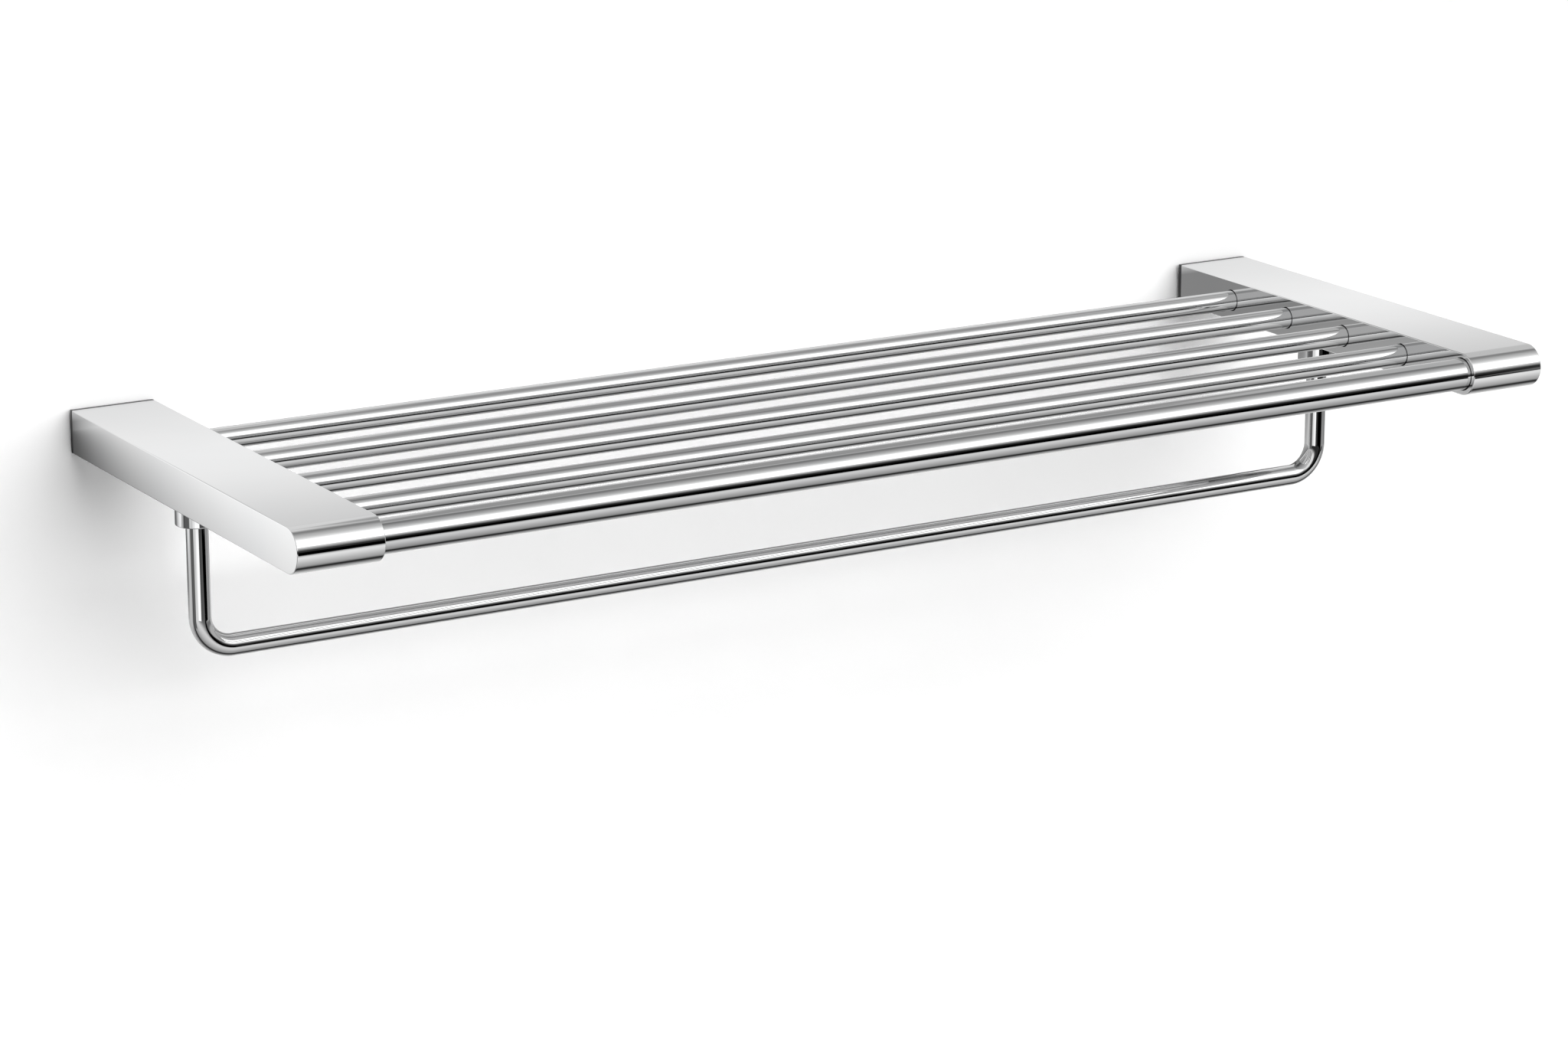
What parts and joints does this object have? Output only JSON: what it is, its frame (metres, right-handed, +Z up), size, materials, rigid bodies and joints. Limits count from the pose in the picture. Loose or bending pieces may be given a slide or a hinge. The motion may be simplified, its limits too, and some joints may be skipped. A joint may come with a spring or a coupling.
{
  "type": "towel rack",
  "caption": "Wall-mounted towel rack in polished metal: flat arms carry a shelf of round rods and a front tube, with a U-shaped rail below for hanging a towel.",
  "frame": {"origin": "on the wall's surface, midway between the arms and at the middle of their thickness", "axes": "X runs along the wall from the left arm to the right arm, +Y goes into the wall, +Z is up"},
  "size_m": [0.645, 0.2747, 0.096],
  "materials": {
    "arms": "mirror-polished chrome plate",
    "wall_plates": "polished chrome plate, machined behind",
    "shelf_rods": "mirror-polished chrome plate",
    "front_tube": "mirror-polished chrome plate",
    "hanging_rail": "mirror-polished chrome plate",
    "collars": "mirror-polished chrome plate",
    "inserts": "zinc-plated steel",
    "screws": "plain stainless steel"
  },
  "bodies": {
    "root": {"bracket_left": "arms", "bracket_right": "arms", "wall_plate_left": "wall_plates", "wall_plate_right": "wall_plates", "shelf_rod_1": "shelf_rods", "shelf_rod_2": "shelf_rods", "shelf_rod_3": "shelf_rods", "shelf_rod_4": "shelf_rods", "front_tube": "front_tube", "hanging_rail": "hanging_rail", "rail_collar_left": "collars", "rail_collar_right": "collars", "front_tube_plug_left": "inserts", "front_tube_plug_right": "inserts", "threaded_insert_left": "inserts", "threaded_insert_right": "inserts", "bracket_grub_screw_left": "screws", "bracket_grub_screw_right": "screws", "front_tube_grub_screw_left": "screws", "front_tube_grub_screw_right": "screws", "collar_grub_screw_left": "screws", "collar_grub_screw_right": "screws", "collar_screw_left": "screws", "collar_screw_right": "screws", "wall_screw_left_1": "screws", "wall_screw_left_2": "screws", "wall_screw_right_1": "screws", "wall_screw_right_2": "screws"}
  },
  "joints": []
}
